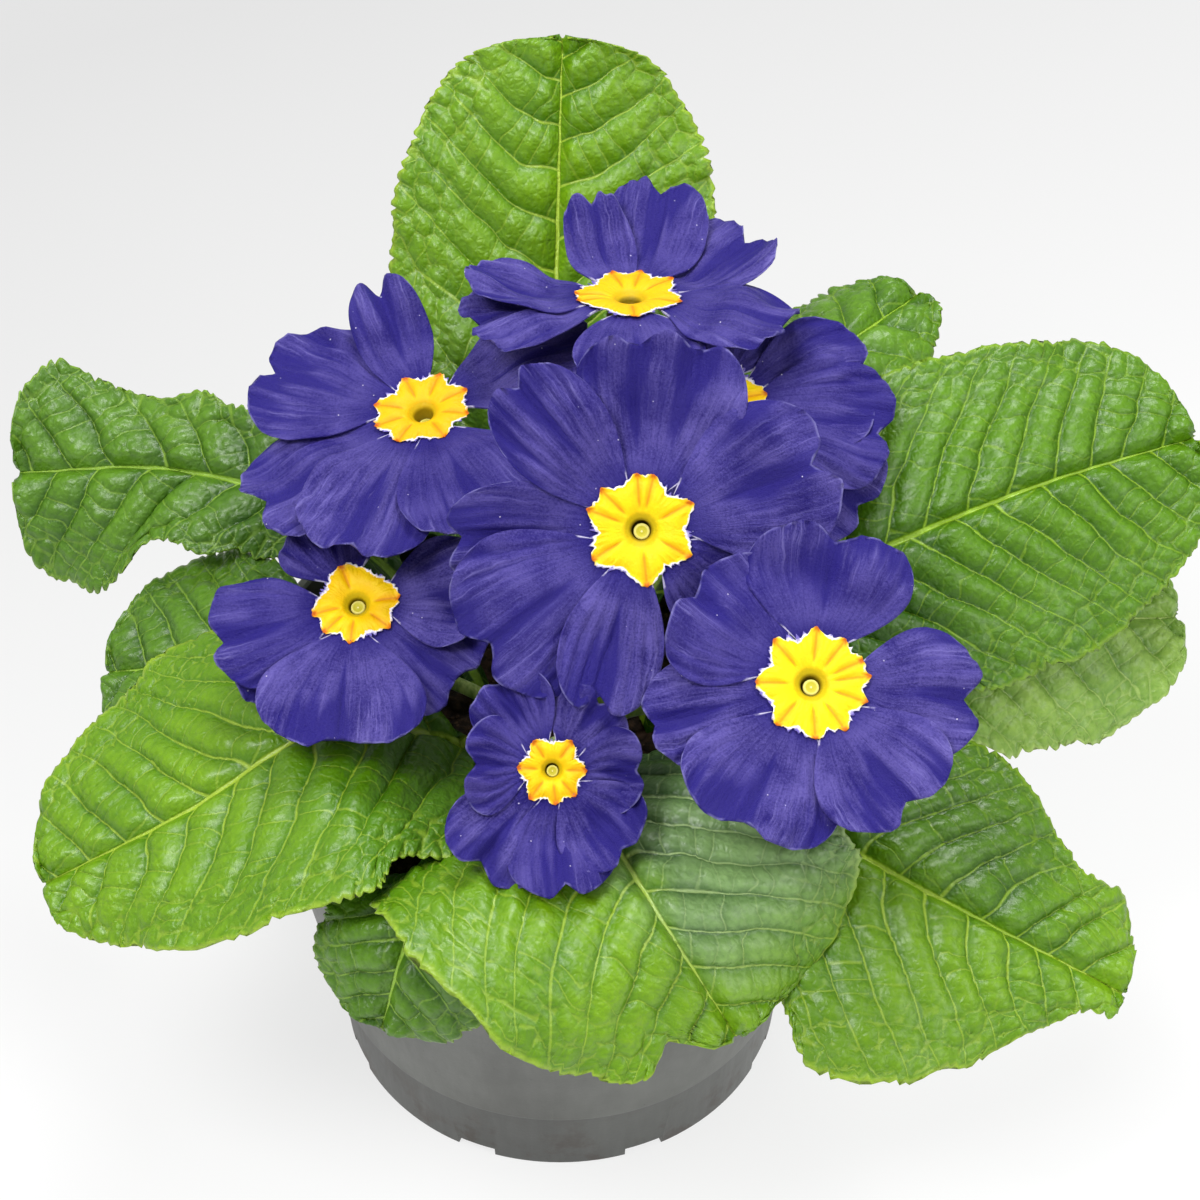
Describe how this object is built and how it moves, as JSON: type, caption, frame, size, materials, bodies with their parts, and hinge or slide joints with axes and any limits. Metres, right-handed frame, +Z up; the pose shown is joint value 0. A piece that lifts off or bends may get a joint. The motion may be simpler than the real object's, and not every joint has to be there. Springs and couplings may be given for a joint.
{
  "type": "potted primrose",
  "caption": "Primrose in a nursery pot: a rosette of quilted, toothed leaves round a cluster of flat violet blooms with yellow star centres.",
  "frame": {"origin": "on the ground under the middle of the pot's foot", "axes": "+Z up out of the pot, -Y towards the side the plant is seen from, +X to the right from there"},
  "size_m": [0.2059, 0.1743, 0.1551],
  "materials": {
    "pot_plastic": "dark grey moulded plastic, satin, with smudges of soil",
    "soil": "damp, crumbly potting soil",
    "leaf": "bright green leaf, quilted between its veins, with a soft gloss",
    "petal": "deep violet blue petal, velvety, with fine radial veins and a thin pale rim",
    "star": "clear yellow with orange streaks and a ragged white fringe",
    "stem": "pale green, softly hairy",
    "stigma": "pale yellow green, matt"
  },
  "bodies": {
    "root": {"pot": "pot_plastic", "soil": "soil", "leaf_back": "leaf", "leaf_back_right": "leaf", "leaf_right": "leaf", "leaf_right_low": "leaf", "leaf_front_right": "leaf", "leaf_front": "leaf", "leaf_front_left_low": "leaf", "leaf_left": "leaf", "leaf_left_low": "leaf", "leaf_back_left": "leaf", "leaf_back_low_left": "leaf", "leaf_back_low_right": "leaf", "bloom_centre_petals": "petal", "bloom_centre_star": "star", "bloom_centre_pistil": "stigma", "bloom_centre_stem": "stem", "bloom_right_petals": "petal", "bloom_right_star": "star", "bloom_right_pistil": "stigma", "bloom_right_stem": "stem", "bloom_left_petals": "petal", "bloom_left_star": "star", "bloom_left_pistil": "stigma", "bloom_left_stem": "stem", "bloom_lower_left_petals": "petal", "bloom_lower_left_star": "star", "bloom_lower_left_pistil": "stigma", "bloom_lower_left_stem": "stem", "bloom_front_petals": "petal", "bloom_front_star": "star", "bloom_front_pistil": "stigma", "bloom_front_stem": "stem", "bloom_back_petals": "petal", "bloom_back_star": "star", "bloom_back_pistil": "stigma", "bloom_back_stem": "stem", "bloom_back_right_petals": "petal", "bloom_back_right_star": "star", "bloom_back_right_pistil": "stigma", "bloom_back_right_stem": "stem"}
  },
  "joints": []
}
